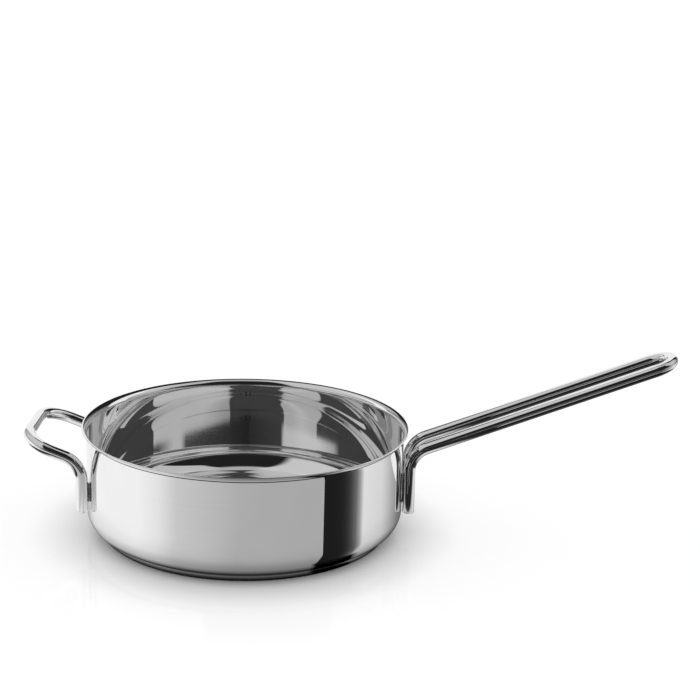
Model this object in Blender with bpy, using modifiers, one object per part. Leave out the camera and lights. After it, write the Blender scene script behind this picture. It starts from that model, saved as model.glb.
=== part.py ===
"""Saute pan: a drawn steel vessel on a clad base, with two bent-tube handles welded to its wall.

The origin is the centre of the face that the pan rests on. +Z is up, and the long handle
points along +X. Lengths are in metres and angles in degrees.
"""

import math
from collections import namedtuple

import bpy

# Vessel
INNER_RADIUS = 0.120
SHEET = 0.0010
PAN_HEIGHT = 0.0835
CORNER_RADIUS = 0.0150
RIM_RADIUS = 0.0042
RIM_TURN = 75.0

# Base: an aluminium core under the floor, held in a magnetic steel cap
CAP_SHEET = 0.0006
CORE_THICKNESS = 0.0030
BASE_INSET = 0.0145
CAP_EDGE_RADIUS = 0.0040

# Tube and bends that both handles share
TUBE_RADIUS = 0.0045
TUBE_WALL = 0.0010
BEND_RADIUS = 0.0195
RISE = 21.3

# Long handle: a reach is how far a handle stands out from the wall
LONG_SPACING = 0.0295
LONG_REACH = 0.2045
LONG_FOOT = 0.0210
LONG_LEG = 0.0335

# Helper handle
HELPER_SPACING = 0.0840
HELPER_REACH = 0.0450
HELPER_FOOT = 0.0240
HELPER_LEG = 0.0250
HELPER_CORNER = 0.0195

# Plugs that close the legs
PLUG_HEAD = 0.0014
PLUG_EDGE = 0.0008
PLUG_DEPTH = 0.0060
PLUG_LEAD = 0.0006

# Weld seams between the legs and the wall
WELD_THICKNESS = 0.0004
WELD_WIDTH = 0.0036
WELD_RAISE = 0.0080
WELD_BELOW_BEND = 0.0030

# Clearance between two pieces that touch
GAP = 0.0003

# Number of facets
TURN_STEPS = 80
CORNER_STEPS = 7
RIM_STEPS = 6
EDGE_STEPS = 4
TUBE_BEVEL = 6
BEND_STEPS = 8
LOOP_STEPS = 8
PLUG_STEPS = 4 + 2 * TUBE_BEVEL
WELD_STEPS = 6

# Sizes that follow from the ones above
OUTER_RADIUS = INNER_RADIUS + SHEET
CORE_BOTTOM = CAP_SHEET + GAP
CORE_TOP = CORE_BOTTOM + CORE_THICKNESS
UNDERSIDE = CORE_TOP + GAP
FLOOR = UNDERSIDE + SHEET
CORNER_CENTRE = (INNER_RADIUS - CORNER_RADIUS, FLOOR + CORNER_RADIUS)
CAP_CENTRE = (OUTER_RADIUS - BASE_INSET, CAP_EDGE_RADIUS)
STAND_OFF = WELD_THICKNESS + 2 * GAP
SEAM_RADIUS = OUTER_RADIUS + STAND_OFF + TUBE_RADIUS

# Each finish is a name, a colour, a roughness and a metallic value
POLISHED = ("polished_steel", (0.78, 0.78, 0.79), 0.06, 1.0)
MAGNETIC = ("magnetic_steel", (0.60, 0.60, 0.61), 0.14, 1.0)
ALUMINIUM = ("core_aluminium", (0.82, 0.83, 0.84), 0.35, 1.0)
WELDED = ("weld_seam", (0.22, 0.21, 0.20), 0.50, 1.0)

Handle = namedtuple("Handle", "name turn spacing reach foot leg corner")
LONG_HANDLE = Handle(
    "long_handle", 0.0, LONG_SPACING, LONG_REACH, LONG_FOOT, LONG_LEG, LONG_SPACING / 2
)
HELPER_HANDLE = Handle(
    "helper_handle", 180.0, HELPER_SPACING, HELPER_REACH, HELPER_FOOT, HELPER_LEG, HELPER_CORNER
)


def clear_scene():
    for obj in list(bpy.data.objects):
        bpy.data.objects.remove(obj, do_unlink=True)


def material(finish):
    """The material of a finish, made the first time that it is asked for."""
    name, colour, roughness, metallic = finish
    if name in bpy.data.materials:
        return bpy.data.materials[name]
    made = bpy.data.materials.new(name)
    made.use_nodes = True
    shader = made.node_tree.nodes["Principled BSDF"]
    shader.inputs["Base Color"].default_value = (*colour, 1.0)
    shader.inputs["Roughness"].default_value = roughness
    shader.inputs["Metallic"].default_value = metallic
    return made


def add(name, data, finish, group, parent=None, place=(0.0, 0.0, 0.0), turn=0.0):
    """A named object of the pan, placed in its parent's frame and turned about Z."""
    obj = bpy.data.objects.new(name, data)
    data.materials.append(material(finish))
    group.objects.link(obj)
    obj.parent = parent
    obj.location = place
    obj.rotation_euler = (0.0, 0.0, math.radians(turn))
    return obj


def arc(centre, radius, start, end, steps):
    """Points on a circle from the angle start to the angle end."""
    points = []
    for i in range(steps + 1):
        angle = math.radians(start + (end - start) * i / steps)
        points.append((centre[0] + radius * math.cos(angle), centre[1] + radius * math.sin(angle)))
    return points


def turned(name, profile, finish, group, steps, parent=None, place=(0.0, 0.0, 0.0)):
    """A profile of (r, z) points, from the axis on top round to the axis below, turned about Z."""
    mesh = bpy.data.meshes.new(name)
    points = [(r, 0.0, z) for r, z in profile]
    edges = [(i, i + 1) for i in range(len(points) - 1)]
    mesh.from_pydata(points, edges, [])
    obj = add(name, mesh, finish, group, parent, place)
    screw = obj.modifiers.new("turn", "SCREW")
    screw.axis = "Z"
    screw.angle = math.tau
    screw.steps = steps
    screw.render_steps = steps
    screw.use_smooth_shade = True
    screw.use_merge_vertices = True
    screw.merge_threshold = 0.00001
    return obj


def under_corner(r):
    """The height at the radius r of the surface that keeps the clearance below the vessel."""
    clear = CORNER_RADIUS + SHEET + GAP
    across = max(r - CORNER_CENTRE[0], 0.0)
    return CORNER_CENTRE[1] - math.sqrt(clear**2 - across**2)


def vessel_profile():
    """Floor, inside corner, wall, flared rim with a rounded lip, and back down the outside."""
    lip_angle = 180.0 - RIM_TURN
    middle = RIM_RADIUS + SHEET / 2
    rim_z = PAN_HEIGHT - SHEET / 2 - middle * math.sin(math.radians(RIM_TURN))
    rim_centre = (OUTER_RADIUS + RIM_RADIUS, rim_z)
    lip_centre = arc(rim_centre, middle, lip_angle, lip_angle, 1)[0]
    return (
        [(0.0, FLOOR)]
        + arc(CORNER_CENTRE, CORNER_RADIUS, -90.0, 0.0, CORNER_STEPS)
        + arc(rim_centre, RIM_RADIUS + SHEET, 180.0, lip_angle, RIM_STEPS)
        + arc(lip_centre, SHEET / 2, lip_angle, lip_angle - 180.0, EDGE_STEPS)[1:-1]
        + arc(rim_centre, RIM_RADIUS, lip_angle, 180.0, RIM_STEPS)
        + arc(CORNER_CENTRE, CORNER_RADIUS + SHEET, 0.0, -90.0, CORNER_STEPS)
        + [(0.0, UNDERSIDE)]
    )


def cap_profile():
    """A shallow cup whose side ends just under the vessel's corner."""
    inner_edge = CAP_EDGE_RADIUS - CAP_SHEET
    inner_r = CAP_CENTRE[0] + inner_edge
    outer_r = CAP_CENTRE[0] + CAP_EDGE_RADIUS
    return (
        [(0.0, CAP_SHEET)]
        + arc(CAP_CENTRE, inner_edge, -90.0, 0.0, EDGE_STEPS)
        + [(inner_r, under_corner(inner_r)), (outer_r, under_corner(outer_r))]
        + arc(CAP_CENTRE, CAP_EDGE_RADIUS, 0.0, -90.0, EDGE_STEPS)
        + [(0.0, 0.0)]
    )


def core_profile():
    """The disc that fills the space between the vessel's underside and the cap."""
    edge = CAP_EDGE_RADIUS - CAP_SHEET - GAP
    side_r = CAP_CENTRE[0] + edge
    rise = side_r - CORNER_CENTRE[0]
    radii = [CORNER_CENTRE[0] + rise * i / EDGE_STEPS for i in range(EDGE_STEPS + 1)]
    return (
        [(0.0, CORE_TOP)]
        + [(r, under_corner(r)) for r in radii]
        + arc(CAP_CENTRE, edge, 0.0, -90.0, EDGE_STEPS)
        + [(0.0, CORE_BOTTOM)]
    )


def plug_profile():
    """A rounded head that closes the leg, below z = 0, and a spigot that goes up its bore."""
    spigot = TUBE_RADIUS - TUBE_WALL - GAP
    edge_centre = (TUBE_RADIUS - PLUG_EDGE, PLUG_EDGE - PLUG_HEAD)
    return (
        [(0.0, PLUG_DEPTH), (spigot - PLUG_LEAD, PLUG_DEPTH), (spigot, PLUG_DEPTH - PLUG_LEAD)]
        + [(spigot, 0.0), (TUBE_RADIUS, 0.0)]
        + arc(edge_centre, PLUG_EDGE, 0.0, -90.0, EDGE_STEPS)
        + [(0.0, -PLUG_HEAD)]
    )


def leg_distance(size):
    """How far along X a leg stands, so that it keeps the stand-off from the round wall."""
    return math.sqrt(SEAM_RADIUS**2 - (size.spacing / 2) ** 2)


def tube_path(size):
    """The centreline of a handle: up one leg, out along its arm, round the loop and back down.

    A side view gives each half its distance out and its height. The bend turns the upright
    leg into the rising arm, and the loop's corners are arcs in the sloping plane of the arms.
    """
    rise = math.radians(RISE)
    out = leg_distance(size)
    bend_centre = (out + BEND_RADIUS, size.foot + size.leg)
    side = [(out, size.foot + PLUG_HEAD + GAP)]
    side += arc(bend_centre, BEND_RADIUS, 180.0, 90.0 + RISE, BEND_STEPS)
    arm_x, arm_z = side[-1]
    half_width = size.spacing / 2
    run = (OUTER_RADIUS + size.reach - TUBE_RADIUS - arm_x) / math.cos(rise)
    corner = min(size.corner, half_width, run)
    half = [(x, -half_width, z) for x, z in side]
    for along, across in arc((run - corner, half_width - corner), corner, 90.0, 0.0, LOOP_STEPS):
        half.append((arm_x + along * math.cos(rise), -across, arm_z + along * math.sin(rise)))
    joined = half[:-1] if corner == half_width else half
    return half + [(x, -y, z) for x, y, z in reversed(joined)]


def bent_tube(size, finish, group, parent):
    """The handle's tube: a round surface along the centreline, with its wall inside it."""
    curve = bpy.data.curves.new(size.name + "_path", "CURVE")
    curve.dimensions = "3D"
    curve.bevel_depth = TUBE_RADIUS
    curve.bevel_resolution = TUBE_BEVEL
    points = tube_path(size)
    spline = curve.splines.new("POLY")
    spline.points.add(len(points) - 1)
    for slot, point in zip(spline.points, points):
        slot.co = (*point, 1.0)
    guide = bpy.data.objects.new(size.name + "_path", curve)
    group.objects.link(guide)
    graph = bpy.context.evaluated_depsgraph_get()
    mesh = bpy.data.meshes.new_from_object(guide.evaluated_get(graph))
    bpy.data.objects.remove(guide, do_unlink=True)
    mesh.name = size.name
    mesh.materials.clear()
    mesh.shade_smooth()
    obj = add(size.name, mesh, finish, group, parent)
    wall = obj.modifiers.new("wall", "SOLIDIFY")
    wall.thickness = TUBE_WALL
    wall.offset = -1.0
    wall.use_even_offset = True
    return obj


def weld_seam(name, size, side, finish, group, parent):
    """The seam that fills the narrow space between a leg and the wall.

    Its outline is drawn in plan: one long edge follows the wall and the other the leg.
    """
    wall_radius = OUTER_RADIUS + GAP
    leg_radius = TUBE_RADIUS + GAP
    widths = [WELD_WIDTH * (i / WELD_STEPS - 0.5) for i in range(WELD_STEPS + 1)]
    outline = [(math.sqrt(wall_radius**2 - y**2), y) for y in reversed(widths)]
    outline += [(SEAM_RADIUS - math.sqrt(leg_radius**2 - y**2), y) for y in widths]
    length = size.leg - WELD_RAISE - WELD_BELOW_BEND
    curve = bpy.data.curves.new(name, "CURVE")
    curve.dimensions = "2D"
    curve.fill_mode = "BOTH"
    curve.extrude = length / 2
    spline = curve.splines.new("POLY")
    spline.use_cyclic_u = True
    spline.points.add(len(outline) - 1)
    for slot, point in zip(spline.points, outline):
        slot.co = (*point, 0.0, 1.0)
    bearing = side * math.degrees(math.asin(size.spacing / 2 / SEAM_RADIUS))
    middle = size.foot + WELD_RAISE + length / 2
    return add(name, curve, finish, group, parent, (0.0, 0.0, middle), bearing)


def handle(size, group):
    """A bent tube with its plugs and weld seams, in a frame that points out from the pan."""
    frame = bpy.data.objects.new(size.name + "_frame", None)
    frame.rotation_euler = (0.0, 0.0, math.radians(size.turn))
    group.objects.link(frame)
    bent_tube(size, POLISHED, group, frame)
    for label, side in (("right", -1), ("left", 1)):
        foot = (leg_distance(size), side * size.spacing / 2, size.foot + PLUG_HEAD)
        turned(f"{size.name}_plug_{label}", plug_profile(), POLISHED, group, PLUG_STEPS, frame, foot)
        weld_seam(f"{size.name}_weld_{label}", size, side, WELDED, group, frame)


def main():
    clear_scene()
    group = bpy.data.collections.new("saute_pan")
    bpy.context.scene.collection.children.link(group)
    turned("vessel", vessel_profile(), POLISHED, group, TURN_STEPS)
    turned("base_cap", cap_profile(), MAGNETIC, group, TURN_STEPS)
    turned("core_disc", core_profile(), ALUMINIUM, group, TURN_STEPS)
    handle(LONG_HANDLE, group)
    handle(HELPER_HANDLE, group)


main()
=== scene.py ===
"""Looks of a polished steel saute pan, which stands on a white floor in a studio.

Run as a script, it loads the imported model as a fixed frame, lays a fine surface over its parts and
sets the stage round it. Lengths are in metres. Angles are in radians in the shapes, and in degrees
where the studio is described.
"""

import math

import bmesh
import bpy
import numpy as np
from bpy.props import FloatProperty, FloatVectorProperty, PointerProperty
from bpy.types import Operator, Panel, PropertyGroup
from mathutils import Matrix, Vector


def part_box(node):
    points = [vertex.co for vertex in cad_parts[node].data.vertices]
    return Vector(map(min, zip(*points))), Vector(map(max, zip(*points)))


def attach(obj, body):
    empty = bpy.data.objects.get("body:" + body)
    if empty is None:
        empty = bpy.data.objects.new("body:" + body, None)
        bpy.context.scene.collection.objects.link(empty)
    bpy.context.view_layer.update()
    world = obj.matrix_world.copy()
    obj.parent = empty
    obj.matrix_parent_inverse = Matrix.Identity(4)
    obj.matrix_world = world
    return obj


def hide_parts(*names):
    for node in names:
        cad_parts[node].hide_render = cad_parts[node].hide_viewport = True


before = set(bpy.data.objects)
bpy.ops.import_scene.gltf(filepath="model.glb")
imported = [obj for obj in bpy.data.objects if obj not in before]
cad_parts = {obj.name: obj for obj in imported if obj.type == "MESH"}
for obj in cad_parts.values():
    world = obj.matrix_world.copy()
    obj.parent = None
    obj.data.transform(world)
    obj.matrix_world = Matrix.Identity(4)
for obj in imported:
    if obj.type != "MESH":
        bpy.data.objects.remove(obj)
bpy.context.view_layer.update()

bl_info = {
    "name": "Saute Pan Looks",
    "version": (1, 0, 0),
    "blender": (4, 5, 0),
    "location": "View3D > Sidebar > Saute Pan",
    "description": "Fine surfaces, steel finishes and a studio for a saute pan",
    "category": "Object",
}

VESSEL_LOW, VESSEL_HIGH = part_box("vessel")
CAP_LOW, CAP_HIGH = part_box("base_cap")
QUARTER = math.pi / 2

# The wall, and the clearance that the frame keeps between parts that touch
INNER_RADIUS = 0.120
SHEET = 0.0010
VESSEL_RADIUS = INNER_RADIUS + SHEET
CLEARANCE = 0.0003

# The base cap's upper side: how far in from the edge it starts to climb, how wide its edge is, and
# how far its side leans in there
CAP_CLIMB = 0.006
CAP_EDGE = 0.0006
CAP_LEAN = 0.0001

# How finely the pieces are divided: steps round a turned piece and round a tube, and points along
# the stretches of one half of a handle
TURN_STEPS = 320
TUBE_STEPS = 64
HANDLE_POINTS = {"leg": 12, "bend": 40, "arm": 40, "corner": 48, "bar": 12}
SHARP_ANGLE = math.radians(40.0)
MERGE_DISTANCE = 1e-7

# The floor lies a hair under the base, and the cards that shade its mirror image lie under it.
FLOOR_REACH = 12.0
FLOOR_HEIGHT = -0.0002
UNDER_FLOOR = -0.001

# A camera's sensor width in millimetres, and how far the camera sees
SENSOR_WIDTH = 36.0
CAMERA_REACH = 50.0

# What the steel mirrors: rings of light, lowest first. Each has the elevation where it ends, how
# softly it goes over into the next one, and its levels as (azimuth, level). An azimuth is 0 towards
# the camera and 90 to the right.
RINGS = {
    "steep floor": (
        -29.0,
        3.0,
        ((-180, 0.2), (-130, 0.12), (-90, 0.03), (90, 0.03), (130, 0.12), (180, 0.2)),
    ),
    "open floor": (
        0.0,
        1.5,
        (
            (-180, 0.15), (-150, 0.7), (-135, 1.0), (-78, 1.0), (-60, 0.86), (-45, 0.64), (-15, 0.53),
            (0, 0.47), (45, 0.45), (60, 0.45), (98, 0.84), (120, 0.75), (135, 0.48), (150, 0.28),
            (180, 0.15),
        ),
    ),
    "low panels": (
        10.0,
        2.0,
        (
            (-180, 0.5), (-150, 0.6), (-120, 0.8), (-50, 0.7), (-36, 0.2), (-25, 0.05),
            (30, 0.07), (60, 0.6), (95, 0.58), (120, 0.15), (180, 0.5),
        ),
    ),
    "gap": (
        16.9,
        0.2,
        ((-180, 0.08), (-140, 0.25), (-40, 0.15), (-10, 0.03), (30, 0.04), (90, 0.2), (180, 0.12)),
    ),
}

# The softboxes over the rings, drawn on a level ceiling at height 1 over the pan: X to the right, Y
# away from the camera. A softbox lies on one side of its side edge and behind its front edge. The
# side edge has its X at Y 0, which goes to 0 by the Y of fade, and its slopes towards the camera
# (near) and away from it (far). The front edge has its Y at X 0 and its slope (lean).
SOFTBOXES = {
    "left": {
        "towards": -1.0, "side": -0.1, "fade": 100.0, "near": -0.28, "far": -0.5,
        "front": -0.82, "lean": 1.25,
    },
    "right": {
        "towards": 1.0, "side": 0.25, "fade": 0.6, "near": 0.3, "far": 1.337,
        "front": -0.48, "lean": -0.12,
    },
}
SOFTBOX_SOFT = 0.03
SOFTBOX_LEVELS = (
    (-180, 0.38), (-147, 0.42), (-128, 0.54), (-108, 0.63), (-30, 0.62), (-5, 0.5),
    (40, 0.52), (78, 0.54), (98, 0.63), (115, 0.52), (180, 0.42),
)
DARK_ROOM = 0.062
LEAST_RISE = 0.1

# A ray's Glossy Depth is under the first of these in its first mirror image, and under the other
# one in its second.
FIRST_IMAGE = 1.5
SECOND_IMAGE = 2.5

# In first images the softboxes begin between these azimuths on either side of the camera's line, the
# room is darker, and there is light overhead, which begins between two elevations.
FIRST_IMAGE_SIDES = {"left": (-26.0, -36.0), "right": (43.0, 51.0)}
FIRST_DARK_ROOM = 0.015
OVERHEAD_EDGE = (66.0, 78.0)
OVERHEAD_LEVEL = 0.45

# A narrow band of light between two elevations. Its lower edge climbs by the slope for each degree
# from behind the pan round to the camera.
BAND = {
    "low": 17.35,
    "slope": 0.0075,
    "high": 18.9,
    "soft": 0.12,
    "levels": (
        (-180, 0.02), (-120, 0.05), (-84, 0.08), (-76, 0.6), (-64, 0.64), (-50, 0.34), (-38, 0.05),
        (34, 0.07), (44, 0.5), (70, 0.75), (98, 0.75), (127, 0.66), (131, 0.06), (180, 0.03),
    ),
}

# The dark strip of the floor: its edges start on the wall at the azimuths of feet and run out in the
# directions of ways. It thins out towards the second edge.
DARK_STRIP = {
    "feet": (31.2, 48.6), "ways": (61.5, 97.8), "length": 0.45, "power": 6.0, "dense": 0.985,
    "level": 0.006,
}

# The shade round the base: how dark the floor is at these distances from the pan's axis, how wide
# the edge is where its card thins out, and where it is nearly black, round an azimuth.
CONTACT_RADII = (0.0, 0.110, 0.121, 0.131, 0.146, 0.165, 0.185, 0.205)
CONTACT_SHADES = (0.99, 0.98, 0.5, 0.37, 0.23, 0.12, 0.04, 0.0)
CONTACT_BLEND = 0.03
CONTACT_DARK = {"azimuth": 42.0, "spread": 13.0, "gain": 4.0, "radius": 0.130, "soft": 0.005}
MIRROR_ROUNDS = 20

# The dark end of the floor, from front to back, and the light that it shares with the leg cards
FAR_FLOOR = (-3.0, -0.4)
DARK_LEVEL = 0.02

# Upright cards, each with its two ends along X: dark ones before the legs of the long handle and
# pale ones behind the handles. At the place of the leg cards a level ray from the wall only runs
# along them, so the wall doesn't mirror them.
LEG_CARDS = {
    "ends": {"leg_card_left": (0.100, 0.1295), "leg_card_right": (0.1335, 0.2)},
    "heights": (-0.02, 0.08),
    "place": -VESSEL_RADIUS / math.sqrt(2.0),
}
PALE_CARDS = {
    "ends": {"pale_card_right": (0.11, 0.45), "pale_card_left": (-0.3, -0.11)},
    "heights": (-0.05, 0.55),
    "place": 0.2,
}
PALE_LEVEL = 0.95

# Steel that is seen after more mirror images than this glows with the light that the next ones
# would bring, from the first level to the second between two distances to either side of X 0.
LAST_IMAGE = 3.5
LAST_IMAGE_SIDES = (0.04, 0.07)
LAST_IMAGE_LEVELS = (0.065, 0.28)

# Between these heights the steel's painted white glow, which only the floor's mirror image sees, comes in
# and fades that image of the pan away.
IMAGE_FADE = (0.0, 0.06)

# How many clouds and hairlines of the metals lie along a metre
CLOUD_SCALE = 14.0
HAIR_SCALE = 45.0

VECTOR = "NodeSocketVector"
FLOAT = "NodeSocketFloat"


def length_property(name, description, default):
    """A setting that is a length."""
    return FloatProperty(name=name, description=description, default=default, unit="LENGTH")


def angle_property(name, description, degrees):
    """A setting that is an angle, with its default in degrees."""
    return FloatProperty(
        name=name, description=description, default=math.radians(degrees), subtype="ANGLE"
    )


def share_property(name, description, default):
    """A setting from 0 to 1."""
    return FloatProperty(name=name, description=description, default=default, min=0.0, max=1.0)


def colour_property(name, description, default):
    """A setting that is a colour."""
    return FloatVectorProperty(
        name=name, description=description, default=default, subtype="COLOR", min=0.0, max=1.0
    )


class VesselShape(PropertyGroup):
    """Sizes of the drawn vessel and of the base under it."""

    inner_radius: length_property("Inner radius", "Radius inside the wall", INNER_RADIUS)
    sheet: length_property("Sheet", "Thickness of the wall", SHEET)
    corner: length_property("Corner", "Inside radius between floor and wall", 0.0150)
    bowl_rise: length_property("Bowl rise", "How high the inside's curve climbs", 0.022)
    bowl_run: length_property("Bowl run", "How wide the inside's curve is", 0.016)
    rim_radius: length_property("Rim radius", "Outside radius of the rim", 0.00418)
    rim_turn: angle_property("Rim turn", "How far the rim leans out", 75.0)
    cap_edge: length_property("Cap edge", "Radius of the base cap's lower edge", 0.0040)


class TubeShape(PropertyGroup):
    """Sizes of the bent tubes of both handles."""

    radius: length_property("Radius", "Outside radius of the tube", 0.0045)
    bend: length_property("Bend", "Radius of the bend over each leg", 0.0195)
    rise: angle_property("Rise", "Slope of the arms", 21.3)
    long_leg: length_property("Long leg", "Height of the long handle's legs", 0.0335)
    helper_leg: length_property("Helper leg", "Height of the helper handle's legs", 0.0250)
    helper_corner: length_property("Helper corner", "Radius of the helper loop's corners", 0.023)
    plug_head: length_property("Plug head", "Height of the closed end of a leg", 0.0014)
    plug_edge: length_property("Plug edge", "Radius of the edge of a closed end", 0.0008)
    end_edge: length_property("End edge", "Radius of the cut edge of the tube", 0.00015)


class SteelLook(PropertyGroup):
    """Colours and roughness of the metals and of the etched marks."""

    polished: colour_property("Polished steel", "Colour of the mirror polish", (0.88, 0.88, 0.88))
    polish: share_property("Polish", "Least roughness of the mirror polish", 0.015)
    # Partly the darker magnetic steel and partly painted shade: this colour is set darker to stand in for
    # the shadow band at the cap's foot.
    magnetic: colour_property("Magnetic steel", "Colour of the base cap", (0.3, 0.3, 0.3))
    brushed: share_property("Brushed", "Least roughness of the base cap", 0.16)
    weld: colour_property("Weld", "Colour of the scale on a weld seam", (0.12, 0.12, 0.12))
    bare_weld: colour_property("Bare weld", "Colour of a rubbed weld seam", (0.34, 0.34, 0.34))
    aluminium: colour_property("Aluminium", "Colour of the core disc", (0.78, 0.78, 0.79))
    etched: colour_property("Etched", "Colour of the litre marks", (0.004, 0.004, 0.004))


class MarkShape(PropertyGroup):
    """Sizes and places of the litre marks inside the wall, sideways from its farthest line."""

    digit: length_property("Digit", "Height of a digit", 0.0034)
    letter: length_property("Letter", "Height of the letter", 0.0044)
    stroke: length_property("Stroke", "Width of a dash", 0.0006)
    dash_left: length_property("Dash start", "Left end of a dash", -0.0135)
    digit_left: length_property("Digit start", "Left side of a digit", -0.0095)
    letter_left: length_property("Letter start", "Left side of the letter", -0.0052)
    two_litres: length_property("Two litres", "Height of two litres", 0.0502)
    three_litres: length_property("Three litres", "Height of three litres", 0.0713)
    lift: length_property("Lift", "How far the marks stand off the wall", 0.00003)


class StudioLook(PropertyGroup):
    """The camera and the light round the pan."""

    lens: FloatProperty(name="Lens", description="Focal length", default=82.29, unit="CAMERA")
    tilt: angle_property("Tilt", "How far the camera looks down", 14.993)
    roll: angle_property("Roll", "How far the camera leans", 1.669)
    eye: FloatVectorProperty(
        name="Eye", description="Where the camera stands", default=(0.077702, -1.167239, 0.456782),
        subtype="XYZ", unit="LENGTH",
    )
    floor: colour_property("Floor", "Colour of the floor", (0.42, 0.42, 0.42))
    floor_glow: FloatProperty(
        name="Floor glow", description="What lifts the floor to the white of the backdrop", default=0.61
    )
    # How far round things ambient occlusion dims the floor's glow, as a painted contact shadow
    painted_shadow_reach: length_property("Contact", "How near things take the lift away", 0.048)
    floor_shine: share_property("Floor shine", "Share of the floor's mirror image", 0.06)


def arc(centre, radius, start, end, count):
    """Points at equal steps on a circle round a centre, from the angle start to the angle end."""
    angle = np.linspace(start, end, count)
    return np.stack([centre[0] + radius * np.cos(angle), centre[1] + radius * np.sin(angle)], axis=-1)


def line(start, end, count):
    """Points at equal steps between two ends, without the ends themselves."""
    share = np.linspace(0.0, 1.0, count + 2)[1:-1, None]
    return np.array(start) * (1.0 - share) + np.array(end) * share


def run_length(profile):
    """The distance along a line of points, from its first point to each one."""
    return np.concatenate([[0.0], np.cumsum(np.linalg.norm(np.diff(profile, axis=0), axis=1))])


def grid_mesh(name, points, wrapped):
    """A mesh over a grid of points, an array of shape (rows, columns, 3).

    Cell (i, j) is the quad between rows i and i + 1 and columns j and j + 1. In a wrapped grid the
    last column joins the first one.
    """
    rows, columns = points.shape[:2]
    i = np.arange(rows - 1)[:, None] * columns
    j = np.arange(columns if wrapped else columns - 1)[None, :]
    right = (j + 1) % columns
    quads = np.stack([i + j, i + right, i + columns + right, i + columns + j], axis=-1).reshape(-1, 4)
    mesh = bpy.data.meshes.new(name)
    mesh.from_pydata(points.reshape(-1, 3).tolist(), [], quads.tolist())
    return mesh


def close_mesh(mesh):
    """Merges the points of a mesh that lie in one place, and turns its faces outwards."""
    shape = bmesh.new()
    shape.from_mesh(mesh)
    bmesh.ops.remove_doubles(shape, verts=shape.verts, dist=MERGE_DISTANCE)
    bmesh.ops.recalc_face_normals(shape, faces=shape.faces)
    shape.to_mesh(mesh)
    shape.free()


def closed_mesh(name, points, along):
    """A closed mesh over a wrapped grid of points, whose first and last rows are poles.

    The point attribute grain is (cos a, sin a, along), where a goes once round the columns and
    along is one value for each row.
    """
    rows, columns = points.shape[:2]
    mesh = grid_mesh(name, points, wrapped=True)
    angle = np.linspace(0.0, math.tau, columns, endpoint=False)
    grain = np.stack(
        [np.tile(np.cos(angle), rows), np.tile(np.sin(angle), rows), np.repeat(along, columns)], axis=-1
    )
    mesh.attributes.new("grain", "FLOAT_VECTOR", "POINT").data.foreach_set("vector", grain.ravel())
    close_mesh(mesh)
    mesh.shade_smooth()
    mesh.set_sharp_from_angle(angle=SHARP_ANGLE)
    return mesh


def sheet_mesh(name, points, **levels):
    """An open sheet over a grid of points, with a point attribute for each of the levels."""
    mesh = grid_mesh(name, points, wrapped=False)
    for key, values in levels.items():
        mesh.attributes.new(key, "FLOAT", "POINT").data.foreach_set("value", values.ravel())
    return mesh


def turned_points(profile, steps):
    """A profile of (r, z) points turned about Z: x = r cos a, y = r sin a, z = z."""
    angle = np.linspace(0.0, math.tau, steps, endpoint=False)[None, :]
    r = profile[:, :1]
    z = np.repeat(profile[:, 1:], steps, axis=1)
    return np.stack([r * np.cos(angle), r * np.sin(angle), z], axis=-1)


def swept_points(points, ways, normals, radii, steps):
    """A round section carried along a path: p + r (n cos a + (w x n) sin a)."""
    angle = np.linspace(0.0, math.tau, steps, endpoint=False)[None, :, None]
    sides = np.cross(ways, normals)
    ring = normals[:, None, :] * np.cos(angle) + sides[:, None, :] * np.sin(angle)
    return points[:, None, :] + radii[:, None, None] * ring


def vessel_profile(shape):
    """The vessel's section: floor, inner corner, wall, flared rim, and back down the outside."""
    inside = shape.inner_radius
    outside = inside + shape.sheet
    underside = VESSEL_LOW.z
    floor = underside + shape.sheet
    middle = shape.rim_radius + shape.sheet / 2
    rim_top = VESSEL_HIGH.z - shape.sheet / 2
    rim_centre = (outside + shape.rim_radius, rim_top - middle * math.sin(shape.rim_turn))
    lip_angle = math.pi - shape.rim_turn
    lip_centre = arc(rim_centre, middle, lip_angle, lip_angle, count=1)[0]
    bowl = arc((0.0, 0.0), 1.0, -QUARTER, 0.0, count=96) * (shape.bowl_run, shape.bowl_rise)
    bowl += (inside - shape.bowl_run, floor + shape.bowl_rise)
    corner_centre = (inside - shape.corner, floor + shape.corner)
    return np.concatenate(
        [
            [(0.0, floor)],
            line((0.0, floor), (inside - shape.bowl_run, floor), count=60),
            bowl,
            line((inside, floor + shape.bowl_rise), (inside, rim_centre[1]), count=24),
            arc(rim_centre, shape.rim_radius + shape.sheet, math.pi, lip_angle, count=24),
            arc(lip_centre, shape.sheet / 2, lip_angle, lip_angle - math.pi, count=12)[1:-1],
            arc(rim_centre, shape.rim_radius, lip_angle, math.pi, count=20),
            line((outside, rim_centre[1]), (outside, corner_centre[1]), count=24),
            arc(corner_centre, shape.corner + shape.sheet, 0.0, -QUARTER, count=32),
            [(0.0, underside)],
        ]
    )


def cap_profile(shape):
    """The base cap's section: a disc with a rounded lower edge, whose side meets the vessel."""
    side, top = CAP_HIGH.x, CAP_HIGH.z
    under_vessel = VESSEL_LOW.z - CLEARANCE
    centre = (side - shape.cap_edge, CAP_LOW.z + shape.cap_edge)
    return np.concatenate(
        [
            [(0.0, under_vessel)],
            line((0.0, under_vessel), (side - CAP_CLIMB, under_vessel), count=6),
            [(side - CAP_EDGE, top), (side - CAP_LEAN, top)],
            arc(centre, shape.cap_edge, 0.0, -QUARTER, count=20),
            line((centre[0], CAP_LOW.z), (0.0, CAP_LOW.z), count=40),
            [(0.0, CAP_LOW.z)],
        ]
    )


def plug_profile(tube, foot):
    """The section of a leg's closed end: a disc against the tube, with a rounded lower edge."""
    bottom = foot - tube.plug_head
    centre = (tube.radius - tube.plug_edge, bottom + tube.plug_edge)
    rounded = arc(centre, tube.plug_edge, 0.0, -QUARTER, count=10)
    return np.concatenate([[(0.0, foot), (tube.radius, foot)], rounded, [(0.0, bottom)]])


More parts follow.
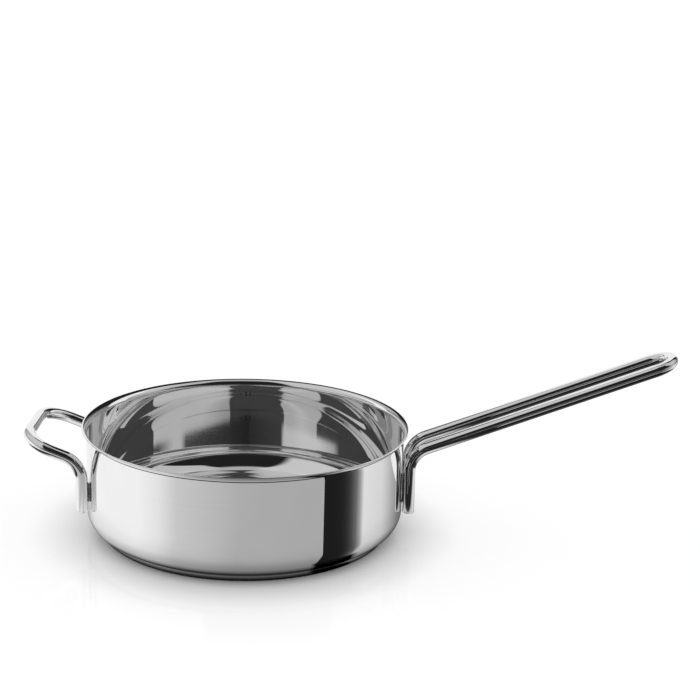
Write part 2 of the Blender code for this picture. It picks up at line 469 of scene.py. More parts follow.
def handle_path(tube, leg, foot, height, tip, corner):
    """The centreline of a handle, and the frame that its round section stands in.

    One half goes up a leg, round the bend over it, out along the rising arm, round a corner of the
    loop and along its bar. The other half is its mirror image. leg is the leg's (x, y), foot and
    height give where it starts and how long it is, and tip is the farthest point of the centreline.
    Returns the points, the directions and the upper normals, as arrays of shape (n, 3).
    """
    x, half = leg
    top = foot + height
    arm = np.array([math.cos(tube.rise), 0.0, math.sin(tube.rise)])
    across = np.array([0.0, 1.0, 0.0])

    ups = np.linspace(foot + tube.end_edge, top, HANDLE_POINTS["leg"])[:-1]
    points = [np.stack([np.full_like(ups, x), np.full_like(ups, -half), ups], axis=-1)]
    ways = [np.tile((0.0, 0.0, 1.0), (len(ups), 1))]

    turn = np.linspace(math.pi, QUARTER + tube.rise, HANDLE_POINTS["bend"])
    bend_x = x + tube.bend * (1.0 + np.cos(turn))
    bend_z = top + tube.bend * np.sin(turn)
    points.append(np.stack([bend_x, np.full_like(turn, -half), bend_z], axis=-1))
    ways.append(np.stack([np.sin(turn), 0.0 * turn, -np.cos(turn)], axis=-1))

    start = points[-1][-1]
    run = (tip - start[0]) / arm[0]
    share = np.linspace(0.0, run - corner, HANDLE_POINTS["arm"])[1:-1, None]
    points.append(start + share * arm)
    ways.append(np.tile(arm, (len(share), 1)))

    turn = np.linspace(QUARTER, 0.0, HANDLE_POINTS["corner"])[:, None]
    out = run - corner + corner * np.cos(turn)
    points.append(start + out * arm + (corner - corner * np.sin(turn)) * across)
    ways.append(np.sin(turn) * arm + np.cos(turn) * across)

    bar = np.linspace(points[-1][-1][1], 0.0, HANDLE_POINTS["bar"])[1:, None]
    points.append(points[-1][-1] * (1.0, 0.0, 1.0) + bar * across)
    ways.append(np.tile(across, (len(bar), 1)))

    points = np.concatenate(points)
    ways = np.concatenate(ways)
    normals = np.stack([-ways[:, 2], 0.0 * ways[:, 1], ways[:, 0]], axis=-1)
    in_loop = ways[:, 1] > 1e-6
    normals[in_loop] = (-arm[2], 0.0, arm[0])
    points = np.concatenate([points, (points * (1.0, -1.0, 1.0))[-2::-1]])
    ways = np.concatenate([ways, (ways * (-1.0, 1.0, -1.0))[-2::-1]])
    normals = np.concatenate([normals, normals[-2::-1]])
    return points, ways, normals


def new_object(name, data):
    """An object of its own for some data, put into the scene."""
    obj = bpy.data.objects.new(name, data)
    bpy.context.scene.collection.objects.link(obj)
    return obj


def finish_piece(name, mesh, material, slot, *nodes):
    """Puts a piece into the scene, riding on the root body and standing for nodes of the frame."""
    mesh.materials.append(material)
    obj = new_object(name, mesh)
    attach(obj, "root")
    if nodes:
        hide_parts(*nodes)


def add_turned(name, profile, material, slot, node):
    """Adds a piece that is turned about Z from its section."""
    mesh = closed_mesh(name, turned_points(profile, TURN_STEPS), run_length(profile))
    finish_piece(name, mesh, material, slot, node)


def add_handle(name, tube, height, side, corner=None):
    """A bent tube and its two closed ends, turned about Z by half a turn where side is -1.

    Without a corner, the loop is a half circle from one arm to the other.
    """
    low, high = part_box(name + "_plug_left")
    leg = (abs(low.x + high.x) / 2, abs(low.y + high.y) / 2)
    if corner is None:
        corner = leg[1]
    foot = low.z + tube.plug_head
    body_low, body_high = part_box(name)
    tip = max(abs(body_low.x), abs(body_high.x)) - tube.radius
    points, ways, normals = handle_path(tube, leg, foot, height - tube.plug_head, tip, corner)

    edge = tube.end_edge
    ends = np.array([0.0, tube.radius - edge])
    radii = np.concatenate([ends, np.full(len(points), tube.radius), ends[::-1]])
    first = np.tile(points[0] - (0.0, 0.0, edge), (2, 1))
    last = np.tile(points[-1] - (0.0, 0.0, edge), (2, 1))
    points = np.concatenate([first, points, last])
    ways = np.pad(ways, ((2, 2), (0, 0)), "edge")
    normals = np.pad(normals, ((2, 2), (0, 0)), "edge")
    grid = swept_points(points, ways, normals, radii, TUBE_STEPS) * (side, side, 1.0)
    mesh = closed_mesh(name + "_tube", grid, run_length(points))
    finish_piece(name + "_tube", mesh, polished_steel(), "polished_steel", name)

    profile = plug_profile(tube, foot)
    for label, across in (("right", -1.0), ("left", 1.0)):
        full = f"{name}_plug_{label}"
        place = (leg[0], across * leg[1], 0.0)
        cap = (turned_points(profile, TUBE_STEPS) + place) * (side, side, 1.0)
        mesh = closed_mesh(full, cap, run_length(profile))
        finish_piece(full + "_end", mesh, polished_steel(), "polished_steel", full)


def flat_sign(text):
    """A character as points and faces, flat in X and Y, with a depth of 1 about Z 0."""
    curve = bpy.data.curves.new(text, "FONT")
    curve.body = text
    curve.size = 1.0
    curve.extrude = 0.5
    curve.resolution_u = 6
    obj = new_object(text, curve)
    bpy.context.view_layer.update()
    mesh = bpy.data.meshes.new_from_object(obj.evaluated_get(bpy.context.evaluated_depsgraph_get()))
    flat = np.empty(len(mesh.vertices) * 3)
    mesh.vertices.foreach_get("co", flat)
    faces = [tuple(each.vertices) for each in mesh.polygons]
    bpy.data.objects.remove(obj)
    bpy.data.curves.remove(curve)
    bpy.data.meshes.remove(mesh)
    return flat.reshape(-1, 3), faces


def bent_points(flat, height, left, middle, radius, lift):
    """The points of a flat character bent onto the inside of the wall.

    X goes to an angle round the wall, Y to the height, and the depth to the radius:
    p = ((radius - d) sin t, (radius - d) cos t, z), with t = x / radius and d from 1 to 2 lifts.
    """
    low, high = flat.min(axis=0), flat.max(axis=0)
    scale = height / (high[1] - low[1])
    angle = (left + (flat[:, 0] - low[0]) * scale) / radius
    up = middle + (flat[:, 1] - (low[1] + high[1]) / 2) * scale
    out = radius - lift * (1.5 + flat[:, 2])
    return np.stack([out * np.sin(angle), out * np.cos(angle), up], axis=-1)


def litre_marks(marks, radius):
    """One mesh of all litre marks: for each level a dash, a digit and a letter."""
    points, faces = [], []
    start = 0
    for digit, level in (("2", marks.two_litres), ("3", marks.three_litres)):
        for text, height, left in (
            ("-", marks.stroke, marks.dash_left),
            (digit, marks.digit, marks.digit_left),
            ("l", marks.letter, marks.letter_left),
        ):
            flat, flat_faces = flat_sign(text)
            points.append(bent_points(flat, height, left, level, radius, marks.lift))
            faces.extend(tuple(start + each for each in face) for face in flat_faces)
            start += len(flat)
    mesh = bpy.data.meshes.new("litre_marks")
    mesh.from_pydata(np.concatenate(points).tolist(), [], faces)
    close_mesh(mesh)
    return mesh


def set_inputs(tree, node, inputs):
    """Links each of the named inputs of a node to a socket, or sets it to a value."""
    for key, value in inputs.items():
        if isinstance(value, bpy.types.NodeSocket):
            tree.links.new(value, node.inputs[key])
        else:
            node.inputs[key].default_value = value


def add_node(tree, kind, inputs, **settings):
    """A node with its settings and inputs."""
    node = tree.nodes.new(kind)
    for key, value in settings.items():
        setattr(node, key, value)
    set_inputs(tree, node, inputs)
    return node


def math_node(tree, operation, *values, clamp=False):
    """The output of a math node on one to three sockets or numbers."""
    inputs = dict(enumerate(values))
    return add_node(tree, "ShaderNodeMath", inputs, operation=operation, use_clamp=clamp).outputs[0]


def ramp_node(tree, value, low, high, start=0.0, end=1.0, kind="SMOOTHSTEP"):
    """A value that goes from start to end while another one goes from low to high."""
    inputs = {"Value": value, "From Min": low, "From Max": high, "To Min": start, "To Max": end}
    return add_node(tree, "ShaderNodeMapRange", inputs, interpolation_type=kind).outputs["Result"]


def blend(tree, share, first, second):
    """A value that goes from the first to the second as the share goes from 0 to 1."""
    return add_node(tree, "ShaderNodeMix", {0: share, 2: first, 3: second}).outputs[0]


def colour_blend(tree, share, first, second):
    """A colour that goes from the first to the second as the share goes from 0 to 1."""
    inputs = {0: share, 6: (*first, 1.0), 7: (*second, 1.0)}
    return add_node(tree, "ShaderNodeMix", inputs, data_type="RGBA").outputs[2]


def noise_node(tree, place, scale, detail, distortion=0.0):
    """The value of a noise texture at a place."""
    inputs = {"Vector": place, "Scale": scale, "Detail": detail, "Distortion": distortion}
    return add_node(tree, "ShaderNodeTexNoise", inputs).outputs["Fac"]


def object_place(tree):
    """The place on the object itself."""
    return tree.nodes.new("ShaderNodeTexCoord").outputs["Object"]


def light_path(tree):
    """What is known of the ray that sees the surface."""
    return tree.nodes.new("ShaderNodeLightPath").outputs


def attribute_node(tree, name):
    """The node that reads a point attribute."""
    return add_node(tree, "ShaderNodeAttribute", {}, attribute_name=name)


def group_node(tree, group, inputs):
    """The outputs of a node group that is placed in a tree."""
    return add_node(tree, "ShaderNodeGroup", inputs, node_tree=group).outputs


def new_group(name, inputs, outputs):
    """An empty shader node group with inputs, as (name, socket type, value), and outputs."""
    group = bpy.data.node_groups.new(name, "ShaderNodeTree")
    for label, kind, value in inputs:
        group.interface.new_socket(label, in_out="INPUT", socket_type=kind).default_value = value
    for label, kind in outputs:
        group.interface.new_socket(label, in_out="OUTPUT", socket_type=kind)
    return group, group.nodes.new("NodeGroupInput").outputs, group.nodes.new("NodeGroupOutput").inputs


def polish_group():
    """Lines left by a buffing wheel, drawn out along the grain of the surface.

    Across is how many lines cross a metre of the grain's third axis, and Along how fast they
    change in the other two.
    """
    if "Polish Lines" in bpy.data.node_groups:
        return bpy.data.node_groups["Polish Lines"]
    group, given, put = new_group(
        "Polish Lines",
        [("Grain", VECTOR, (0.0, 0.0, 0.0)), ("Along", FLOAT, 2.0), ("Across", FLOAT, 1500.0)],
        [("Height", FLOAT), ("Mask", FLOAT)],
    )
    axes = {"X": given["Along"], "Y": given["Along"], "Z": given["Across"]}
    scale = add_node(group, "ShaderNodeCombineXYZ", axes).outputs[0]
    stretched = add_node(group, "ShaderNodeVectorMath", {0: given["Grain"], 1: scale}, operation="MULTIPLY")
    lines = noise_node(group, stretched.outputs[0], 1.0, 3.0)
    group.links.new(lines, put["Height"])
    group.links.new(ramp_node(group, lines, 0.5, 0.72), put["Mask"])
    return group


def scratch_group():
    """Hairline scratches in two crossing directions, broken up so that each one is short."""
    if "Hairlines" in bpy.data.node_groups:
        return bpy.data.node_groups["Hairlines"]
    group, given, put = new_group(
        "Hairlines",
        [("Vector", VECTOR, (0.0, 0.0, 0.0)), ("Scale", FLOAT, 60.0), ("Share", FLOAT, 0.3)],
        [("Mask", FLOAT)],
    )
    patches = noise_node(group, given["Vector"], given["Scale"], 2.0)
    level = ramp_node(group, given["Share"], 0.0, 1.0, 0.75, 0.35, kind="LINEAR")
    kept = math_node(group, "GREATER_THAN", patches, level)
    sets = []
    for turn in ((0.4, 0.9, 0.3), (1.1, -0.5, 1.7)):
        drawn = {"Vector": given["Vector"], "Rotation": turn, "Scale": (0.5, 28.0, 28.0)}
        turned = add_node(group, "ShaderNodeMapping", drawn, vector_type="POINT").outputs[0]
        sets.append(ramp_node(group, noise_node(group, turned, given["Scale"], 1.0), 0.68, 0.72))
    lines = math_node(group, "MAXIMUM", *sets)
    group.links.new(math_node(group, "MULTIPLY", lines, kept), put["Mask"])
    return group


def smudge_group():
    """Soft clouds, such as wiping leaves on a polished surface."""
    if "Smudges" in bpy.data.node_groups:
        return bpy.data.node_groups["Smudges"]
    group, given, put = new_group(
        "Smudges", [("Vector", VECTOR, (0.0, 0.0, 0.0)), ("Scale", FLOAT, 14.0)], [("Mask", FLOAT)]
    )
    clouds = noise_node(group, given["Vector"], given["Scale"], 4.0, distortion=0.6)
    group.links.new(ramp_node(group, clouds, 0.42, 0.68), put["Mask"])
    return group


def new_material(name):
    """A new material and its tree."""
    material = bpy.data.materials.new(name)
    material.use_nodes = True
    return material, material.node_tree


def dress(material, **inputs):
    """Links or sets the inputs of a material's shader, by their names with _ for spaces."""
    tree = material.node_tree
    named = {key.replace("_", " "): value for key, value in inputs.items()}
    set_inputs(tree, tree.nodes["Principled BSDF"], named)
    return material


def bump(tree, height, distance):
    """The normal of a surface that stands out by a height map."""
    inputs = {"Height": height, "Strength": 1.0, "Distance": distance}
    return add_node(tree, "ShaderNodeBump", inputs).outputs["Normal"]


def shaded(colour, share):
    """A colour made darker or lighter by a share."""
    return tuple(share * each for each in colour)


def painted_mirror_glow(tree, place):
    """The light that steel adds where mirror images end.

    After the last image that is followed, it is the light that more of them would bring. In the
    floor's mirror image, it is the white that the pan fades into with its height.
    """
    light = light_path(tree)
    parts = add_node(tree, "ShaderNodeSeparateXYZ", {0: place}).outputs
    aside = math_node(tree, "ABSOLUTE", parts["X"])
    last = math_node(tree, "GREATER_THAN", light["Glossy Depth"], LAST_IMAGE)
    level = ramp_node(tree, aside, *LAST_IMAGE_SIDES, *LAST_IMAGE_LEVELS)
    glow = math_node(tree, "MULTIPLY", last, level)
    high = ramp_node(tree, parts["Z"], *IMAGE_FADE)
    faded = math_node(tree, "MULTIPLY", high, light["Is Singular Ray"])
    return blend(tree, faded, glow, 1.0)


def buffed_metal(name, colour, wear, roughness, spread, along, across, depth, scratches):
    """A buffed or brushed metal: its lines follow the grain attribute, with hairlines and smudges.

    Wear is the share of the colour that is left where it is worn. Roughness runs from its least
    value up by spread, and depth is the height of the lines.
    """
    if name in bpy.data.materials:
        return bpy.data.materials[name]
    material, tree = new_material(name)
    place = object_place(tree)
    grain = attribute_node(tree, "grain").outputs["Vector"]
    lines = group_node(tree, polish_group(), {"Grain": grain, "Along": along, "Across": across})
    smudges = group_node(tree, smudge_group(), {"Vector": place, "Scale": CLOUD_SCALE})["Mask"]
    given = {"Vector": place, "Scale": HAIR_SCALE, "Share": scratches}
    hairs = group_node(tree, scratch_group(), given)["Mask"]

    worn = math_node(tree, "MAXIMUM", math_node(tree, "MULTIPLY", lines["Mask"], 0.6), smudges)
    half_lines = math_node(tree, "MULTIPLY", lines["Mask"], 0.5)
    cloud = math_node(tree, "MULTIPLY_ADD", smudges, 0.5, half_lines)
    rough = math_node(tree, "MULTIPLY_ADD", cloud, spread, roughness)
    height = math_node(tree, "MULTIPLY_ADD", hairs, -0.5, lines["Height"])
    return dress(
        material,
        Metallic=1.0,
        Base_Color=colour_blend(tree, worn, colour, shaded(colour, wear)),
        Roughness=math_node(tree, "MULTIPLY_ADD", hairs, 2.0 * spread, rough),
        Normal=bump(tree, height, depth),
        # Painted glow in the emission: the light that deeper mirror images would bring, and the white that
        # fades the floor's mirror image of the pan.
        Emission_Color=painted_mirror_glow(tree, place),
        Emission_Strength=1.0,
    )


def polished_steel():
    """The mirror polish of the vessel and of the handles."""
    look = bpy.context.scene.pan_steel
    return buffed_metal(
        "mirror_polish", look.polished, wear=0.97, roughness=look.polish, spread=0.02,
        along=1.5, across=900.0, depth=2e-8, scratches=0.25,
    )


def magnetic_steel():
    """The base cap's steel, brushed in rings. Its colour is set darker than the steel alone, as painted
    shade for the dark band at its foot.
    """
    look = bpy.context.scene.pan_steel
    return buffed_metal(
        "ring_brushed", look.magnetic, wear=0.8, roughness=look.brushed, spread=0.16,
        along=1.2, across=2600.0, depth=4e-6, scratches=0.6,
    )


def core_aluminium():
    """The core disc's rolled aluminium, with faint rolling lines along X."""
    colour = bpy.context.scene.pan_steel.aluminium
    material, tree = new_material("rolled_aluminium")
    drawn = {"Vector": object_place(tree), "Scale": (20.0, 1200.0, 1200.0)}
    lines = noise_node(tree, add_node(tree, "ShaderNodeMapping", drawn).outputs[0], 1.0, 3.0)
    return dress(
        material,
        Metallic=1.0,
        Base_Color=colour_blend(tree, lines, colour, shaded(colour, 0.82)),
        Roughness=ramp_node(tree, lines, 0.3, 0.7, 0.28, 0.45),
        Normal=bump(tree, lines, 4e-6),
    )


def weld_seam():
    """The ripples of a weld bead, darkened by heat and bright where they were rubbed."""
    look = bpy.context.scene.pan_steel
    material, tree = new_material("weld_scale")
    place = object_place(tree)
    given = {"Vector": place, "Scale": 160.0, "Distortion": 3.0, "Detail": 2.0, "Detail Scale": 1.5}
    ripples = add_node(tree, "ShaderNodeTexWave", given, bands_direction="Z").outputs["Fac"]
    smudges = group_node(tree, smudge_group(), {"Vector": place, "Scale": 220.0})["Mask"]
    rubbed = math_node(tree, "MULTIPLY", ripples, smudges)
    return dress(
        material,
        Metallic=1.0,
        Base_Color=colour_blend(tree, rubbed, look.weld, look.bare_weld),
        Roughness=ramp_node(tree, smudges, 0.0, 1.0, 0.48, 0.3),
        Normal=bump(tree, ripples, 1.5e-4),
    )


def etched_mark():
    """The dull dark oxide of the etched litre marks."""
    colour = bpy.context.scene.pan_steel.etched
    material, tree = new_material("etched_mark")
    specks = noise_node(tree, object_place(tree), 2500.0, 2.0)
    faded = ramp_node(tree, specks, 0.45, 0.7)
    return dress(
        material,
        Base_Color=colour_blend(tree, faded, colour, shaded(colour, 2.0)),
        Roughness=ramp_node(tree, specks, 0.3, 0.7, 0.5, 0.7),
        Specular_IOR_Level=0.1,
    )


def empty_material(name):
    """A material with nothing but its output node. Returns the material, tree and surface socket."""
    material, tree = new_material(name)
    tree.nodes.clear()
    return material, tree, tree.nodes.new("ShaderNodeOutputMaterial").inputs["Surface"]


def floor_material(look):
    """A pale floor with a faint mirror image, lifted to white for the camera.

    Where the pan stands close over the floor, ambient occlusion dims this lift. That is a painted contact
    shadow, laid over the real shade that the dome casts on the diffuse part.
    """
    material, tree, surface = empty_material("floor")
    diffuse = add_node(tree, "ShaderNodeBsdfDiffuse", {"Color": (*look.floor, 1.0)}).outputs[0]
    near = {"Distance": look.painted_shadow_reach}
    # Painted contact shadow: ambient occlusion dims the glow that lifts the floor to white.
    painted_shadow_ao = add_node(tree, "ShaderNodeAmbientOcclusion", near, samples=8).outputs["AO"]
    strength = math_node(tree, "MULTIPLY", light_path(tree)["Is Camera Ray"], look.floor_glow)
    strength = math_node(tree, "MULTIPLY", strength, painted_shadow_ao)
    glow = add_node(tree, "ShaderNodeEmission", {"Strength": strength}).outputs[0]
    both = add_node(tree, "ShaderNodeAddShader", {0: diffuse, 1: glow}).outputs[0]
    plain = {"Color": (1.0, 1.0, 1.0, 1.0), "Roughness": 0.0}
    mirror = add_node(tree, "ShaderNodeBsdfAnisotropic", plain).outputs[0]
    mixed = add_node(tree, "ShaderNodeMixShader", {0: look.floor_shine, 1: both, 2: mirror}).outputs[0]
    tree.links.new(mixed, surface)
    return material


def card_material(name, level=None, masked=False, images=FIRST_IMAGE):
    """A card's even light, or its attribute light where no level is given.

    A masked card is as dense as its attribute shade says. Any other card is seen in fewer mirror
    images than the given number. The floor's mirror image sees through all of them.
    """
    material, tree, surface = empty_material(name)
    light = light_path(tree)
    if level is None:
        level = attribute_node(tree, "light").outputs["Fac"]
    if masked:
        density = attribute_node(tree, "shade").outputs["Fac"]
    else:
        density = math_node(tree, "LESS_THAN", light["Glossy Depth"], images)
    dense = math_node(tree, "SUBTRACT", 1.0, light["Is Singular Ray"])
    dense = math_node(tree, "MULTIPLY", dense, density)
    clear = tree.nodes.new("ShaderNodeBsdfTransparent").outputs[0]
    glow = add_node(tree, "ShaderNodeEmission", {"Strength": level}).outputs[0]
    mixed = add_node(tree, "ShaderNodeMixShader", {0: dense, 1: clear, 2: glow}).outputs[0]
    tree.links.new(mixed, surface)
    return material


def way(azimuth):
    """The level direction of an azimuth in degrees, from 0 at the camera to 90 on the right."""
    angle = np.radians(azimuth)
    return np.stack([np.sin(angle), -np.cos(angle), 0.0 * angle], axis=-1)


def dark_card_mesh():
    """The dark strip of the floor on the right: (1 - u) (w0 + v d0) + u (w1 + v d1)."""
    starts = way(np.array(DARK_STRIP["feet"])) * VESSEL_RADIUS
    ways = way(np.array(DARK_STRIP["ways"]))
    u, v = np.meshgrid(np.linspace(0.0, 1.0, 33), np.linspace(0.0, DARK_STRIP["length"], 17))
    across, along = u[:, :, None], v[:, :, None]
    points = (1.0 - across) * (starts[0] + along * ways[0]) + across * (starts[1] + along * ways[1])
    points[:, :, 2] = UNDER_FLOOR
    return sheet_mesh("dark_card", points, shade=DARK_STRIP["dense"] * (1.0 - u ** DARK_STRIP["power"]))


def mirror_azimuth(angle, radius):
    """The azimuth in which the wall sends a camera's ray to a place on the floor, in degrees.

    The place is at the azimuth a and the distance r from the axis, and R is the wall's radius. The
    ray leaves the wall at the azimuth t with r sin(2 t - a) = R sin t, in the direction 2 t. Rounds
    of t = (a + asin(R sin t / r)) / 2 find it.
    """
    place = np.radians(angle)
    ratio = VESSEL_RADIUS / np.maximum(radius, VESSEL_RADIUS)
    foot = place
    for _ in range(MIRROR_ROUNDS):
        foot = 0.5 * (place + np.arcsin(ratio * np.sin(foot)))
    return np.degrees(2.0 * foot)


def contact_mesh():
    """The floor's shade next to the base, as a disc: r (sin a, -cos a), with a once round.

    Its light is the open floor's in the direction in which the wall mirrors it, less the shade.
    """
    angle, radius = np.meshgrid(np.linspace(-180.0, 180.0, 145), np.linspace(0.0, CONTACT_RADII[-1], 60))
    points = radius[:, :, None] * way(angle)
    points[:, :, 2] = 2 * UNDER_FLOOR
    dense = np.clip((CONTACT_RADII[-1] - radius) / CONTACT_BLEND, 0.0, 1.0)
    aside = np.abs(angle - CONTACT_DARK["azimuth"]) / CONTACT_DARK["spread"]
    beside = np.clip(CONTACT_DARK["gain"] * (1.0 - aside), 0.0, 1.0)
    close = np.clip((CONTACT_DARK["radius"] - radius) / CONTACT_DARK["soft"], 0.0, 1.0)
    dark = np.maximum(np.interp(radius, CONTACT_RADII, CONTACT_SHADES), beside * close)
    azimuths, levels = np.array(RINGS["open floor"][2]).T
    light = np.interp(mirror_azimuth(angle, radius), azimuths, levels) * (1.0 - dark)
    return sheet_mesh("contact_shade", points, shade=dense, light=light)


def level_sheet(name, front, back, height):
    """A level sheet right across the studio, from the Y of its front to the Y of its back."""
    x, y = np.meshgrid([-FLOOR_REACH, FLOOR_REACH], [front, back])
    return sheet_mesh(name, np.stack([x, y, np.full_like(x, height)], axis=-1))


def stage_piece(name, mesh, material):
    """Puts a floor or a card on the stage."""
    mesh.materials.append(material)
    obj = new_object(name, mesh)
    return obj


def add_card(name, mesh, material):
    """Puts a card on the stage, hidden from everything except glossy rays."""
    obj = stage_piece(name, mesh, material)
    for kind in ("camera", "diffuse", "transmission", "volume_scatter", "shadow"):
        setattr(obj, "visible_" + kind, False)


def add_upright_cards(cards, material):
    """Puts cards on the stage that stand across Y."""
    for name, ends in cards["ends"].items():
        x, z = np.meshgrid(ends, cards["heights"])
        points = np.stack([x, np.full_like(x, cards["place"]), z], axis=-1)
        add_card(name, sheet_mesh(name, points), material)


def add_cards():
    """The cards that only the steel's mirror images show."""
    strip = card_material("floor_shade", DARK_STRIP["level"], masked=True)
    add_card("dark_card", dark_card_mesh(), strip)
    add_card("contact_shade", contact_mesh(), card_material("contact_shade", masked=True))
    far_floor = level_sheet("far_floor", *FAR_FLOOR, UNDER_FLOOR)
    add_card("far_floor", far_floor, card_material("dark_card", DARK_LEVEL))
    add_upright_cards(LEG_CARDS, card_material("leg_card", DARK_LEVEL, images=SECOND_IMAGE))
    add_upright_cards(PALE_CARDS, card_material("pale_card", PALE_LEVEL))


def add_floor(look):
    """The floor, which the camera sees and no glossy ray does."""
    mesh = level_sheet("floor", -FLOOR_REACH, FLOOR_REACH, FLOOR_HEIGHT)
    stage_piece("floor", mesh, floor_material(look)).visible_glossy = False


def ring_levels(tree, turn, stops):
    """Levels round the studio, from stops in degrees. turn goes from 0 to 1 round the studio."""
    ramp = add_node(tree, "ShaderNodeValToRGB", {0: turn})
    elements = ramp.color_ramp.elements
    for degrees, level in stops[1:-1]:
        elements.new(degrees / 360.0 + 0.5).color = (level, level, level, 1.0)
    elements[0].color = (*[stops[0][1]] * 3, 1.0)
    elements[-1].color = (*[stops[-1][1]] * 3, 1.0)
    return ramp.outputs["Color"]


def softbox_mask(tree, x, y):
    """1 inside the softboxes and 0 outside, from a place on the ceiling."""
    near = math_node(tree, "MINIMUM", y, 0.0)
    far = math_node(tree, "MAXIMUM", y, 0.0)
    masks = []
    for box in SOFTBOXES.values():
        side = ramp_node(tree, y, 0.0, box["fade"], box["side"], 0.0)
        side = math_node(tree, "MULTIPLY_ADD", near, box["near"], side)
        side = math_node(tree, "MULTIPLY_ADD", far, box["far"], side)
        beyond = math_node(tree, "MULTIPLY", math_node(tree, "SUBTRACT", x, side), box["towards"])
        front = math_node(tree, "MULTIPLY_ADD", x, box["lean"], box["front"])
        behind = math_node(tree, "SUBTRACT", y, front)
        edges = [ramp_node(tree, each, -SOFTBOX_SOFT, SOFTBOX_SOFT) for each in (beyond, behind)]
        masks.append(math_node(tree, "MULTIPLY", *edges))
    return math_node(tree, "MAXIMUM", *masks)


def ceiling_light(tree, parts, azimuth, elevation, turn):
    """The softboxes and the room round them, which first mirror images see in their own way."""
    rise = math_node(tree, "MAXIMUM", parts["Z"], LEAST_RISE)
    x = math_node(tree, "DIVIDE", parts["X"], rise)
    y = math_node(tree, "DIVIDE", parts["Y"], rise)
    first = math_node(tree, "LESS_THAN", light_path(tree)["Glossy Depth"], FIRST_IMAGE)
    later = math_node(tree, "SUBTRACT", 1.0, first)
    sides = [ramp_node(tree, azimuth, *each) for each in FIRST_IMAGE_SIDES.values()]
    aside = math_node(tree, "MAXIMUM", math_node(tree, "ADD", *sides, clamp=True), later)
    mask = math_node(tree, "MULTIPLY", softbox_mask(tree, x, y), aside)
    overhead = math_node(tree, "MULTIPLY", first, ramp_node(tree, elevation, *OVERHEAD_EDGE))
    room = blend(tree, overhead, blend(tree, first, DARK_ROOM, FIRST_DARK_ROOM), OVERHEAD_LEVEL)
    return blend(tree, mask, room, ring_levels(tree, turn, SOFTBOX_LEVELS))


def band_mask(tree, azimuth, elevation):
    """1 inside the narrow band of light and 0 outside."""
    low, high, soft = BAND["low"], BAND["high"], BAND["soft"]
    from_back = math_node(tree, "SUBTRACT", 180.0, math_node(tree, "ABSOLUTE", azimuth))
    edge = math_node(tree, "MULTIPLY_ADD", from_back, BAND["slope"], low)
    over = ramp_node(tree, math_node(tree, "SUBTRACT", elevation, edge), -soft, soft)
    under = ramp_node(tree, elevation, high - soft, high + soft, 1.0, 0.0)
    return math_node(tree, "MULTIPLY", over, under)


def studio_light(tree):
    """The light that the steel mirrors, by direction, as one socket."""
    direction = tree.nodes.new("ShaderNodeTexCoord").outputs["Generated"]
    parts = add_node(tree, "ShaderNodeSeparateXYZ", {0: direction}).outputs
    to_camera = math_node(tree, "MULTIPLY", parts["Y"], -1.0)
    azimuth = math_node(tree, "DEGREES", math_node(tree, "ARCTAN2", parts["X"], to_camera))
    elevation = math_node(tree, "DEGREES", math_node(tree, "ARCSINE", parts["Z"]))
    turn = math_node(tree, "MULTIPLY_ADD", azimuth, 1.0 / 360.0, 0.5)
    level = 0.0
    above = 1.0
    for end, soft, stops in RINGS.values():
        level = blend(tree, above, level, ring_levels(tree, turn, stops))
        above = ramp_node(tree, elevation, end - soft, end + soft)
    level = blend(tree, above, level, ceiling_light(tree, parts, azimuth, elevation, turn))
    band = ring_levels(tree, turn, BAND["levels"])
    return blend(tree, band_mask(tree, azimuth, elevation), level, band)


def build_world():
    """A white backdrop, an even dome for dull surfaces, and the studio for shiny ones."""
    world = bpy.data.worlds.new("studio")
    bpy.context.scene.world = world
    world.use_nodes = True
    tree = world.node_tree
    tree.nodes.clear()
    light = light_path(tree)
    shiny = math_node(tree, "SUBTRACT", light["Is Glossy Ray"], light["Is Singular Ray"], clamp=True)
    white = {"Color": (1.0, 1.0, 1.0, 1.0), "Strength": blend(tree, shiny, 1.0, studio_light(tree))}
    background = add_node(tree, "ShaderNodeBackground", white).outputs[0]
    tree.links.new(background, tree.nodes.new("ShaderNodeOutputWorld").inputs["Surface"])


def camera_matrix(look):
    """Where the camera stands: it looks along +Y, tilted down, and leans about its line of sight."""
    level = Matrix.Translation(look.eye) @ Matrix.Rotation(QUARTER - look.tilt, 4, "X")
    return level @ Matrix.Rotation(look.roll, 4, "Z")


def add_camera(look):
    """The camera that the scene is seen through."""
    data = bpy.data.cameras.new("camera")
    data.lens = look.lens
    data.sensor_width = SENSOR_WIDTH
    data.clip_end = CAMERA_REACH
    camera = new_object("camera", data)
    camera.matrix_world = camera_matrix(look)
    bpy.context.scene.camera = camera


class PAN_OT_vessel(Operator):
    """Add the fine surface of the vessel"""

    bl_idname = "pan.vessel"
    bl_label = "Vessel"

    def execute(self, context):
        profile = vessel_profile(context.scene.pan_vessel)
        add_turned("vessel_steel", profile, polished_steel(), "polished_steel", "vessel")
        return {"FINISHED"}


class PAN_OT_base_cap(Operator):
    """Add the fine surface of the base cap"""

    bl_idname = "pan.base_cap"
    bl_label = "Base Cap"

    def execute(self, context):
        profile = cap_profile(context.scene.pan_vessel)
        add_turned("base_cap_steel", profile, magnetic_steel(), "magnetic_steel", "base_cap")
        return {"FINISHED"}


class PAN_OT_handles(Operator):
    """Add the fine surfaces of both handles and of their closed ends"""

    bl_idname = "pan.handles"
    bl_label = "Handles"

    def execute(self, context):
        tube = context.scene.pan_tube
        add_handle("long_handle", tube, tube.long_leg, 1.0)
        add_handle("helper_handle", tube, tube.helper_leg, -1.0, tube.helper_corner)
        return {"FINISHED"}


class PAN_OT_litre_marks(Operator):
    """Add the litre marks inside the wall"""

    bl_idname = "pan.litre_marks"
    bl_label = "Litre Marks"

    def execute(self, context):
        scene = context.scene
        mesh = litre_marks(scene.pan_marks, scene.pan_vessel.inner_radius)
        finish_piece("litre_marks", mesh, etched_mark(), "polished_steel")
        return {"FINISHED"}


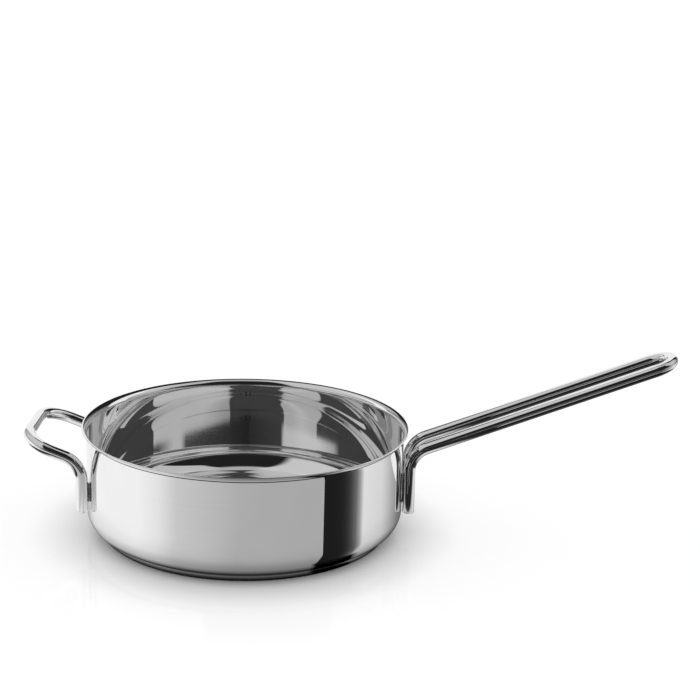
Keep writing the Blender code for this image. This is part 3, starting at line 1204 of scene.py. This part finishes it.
class PAN_OT_small_parts(Operator):
    """Give the weld seams and the core disc their finishes"""

    bl_idname = "pan.small_parts"
    bl_label = "Seams and Core"

    def execute(self, context):
        finishes = {"core_disc": core_aluminium()}
        seam = weld_seam()
        for handle in ("long_handle", "helper_handle"):
            for side in ("right", "left"):
                finishes[f"{handle}_weld_{side}"] = seam
        for name, material in finishes.items():
            mesh = bpy.data.objects[name].data
            mesh.materials.clear()
            mesh.materials.append(material)
        return {"FINISHED"}


class PAN_OT_stage(Operator):
    """Set the camera, the floor and the light"""

    bl_idname = "pan.stage"
    bl_label = "Stage"

    def execute(self, context):
        look = context.scene.pan_studio
        add_camera(look)
        context.scene.view_settings.view_transform = "Standard"
        build_world()
        add_floor(look)
        add_cards()
        return {"FINISHED"}


STEPS = (
    PAN_OT_vessel,
    PAN_OT_base_cap,
    PAN_OT_handles,
    PAN_OT_litre_marks,
    PAN_OT_small_parts,
    PAN_OT_stage,
)
SETTINGS = {
    "pan_vessel": VesselShape,
    "pan_tube": TubeShape,
    "pan_steel": SteelLook,
    "pan_marks": MarkShape,
    "pan_studio": StudioLook,
}


class PAN_PT_looks(Panel):
    """The sizes, the colours and the steps of the pan's looks"""

    bl_idname = "PAN_PT_looks"
    bl_label = "Saute Pan"
    bl_space_type = "VIEW_3D"
    bl_region_type = "UI"
    bl_category = "Saute Pan"

    def draw(self, context):
        for each in STEPS:
            self.layout.operator(each.bl_idname)
        for name, kind in SETTINGS.items():
            box = self.layout.box()
            for key in kind.__annotations__:
                box.prop(getattr(context.scene, name), key)


def register():
    """Registers the classes and gives the scene its settings."""
    for each in (*SETTINGS.values(), *STEPS, PAN_PT_looks):
        bpy.utils.register_class(each)
    for name, kind in SETTINGS.items():
        setattr(bpy.types.Scene, name, PointerProperty(type=kind))


def unregister():
    """Takes the settings and the classes away again."""
    for name in SETTINGS:
        delattr(bpy.types.Scene, name)
    for each in reversed((*SETTINGS.values(), *STEPS, PAN_PT_looks)):
        bpy.utils.unregister_class(each)


def main():
    """Dresses the pan and sets the stage."""
    register()
    bpy.ops.pan.vessel()
    bpy.ops.pan.base_cap()
    bpy.ops.pan.handles()
    bpy.ops.pan.litre_marks()
    bpy.ops.pan.small_parts()
    bpy.ops.pan.stage()


if __name__ == "__main__":
    main()
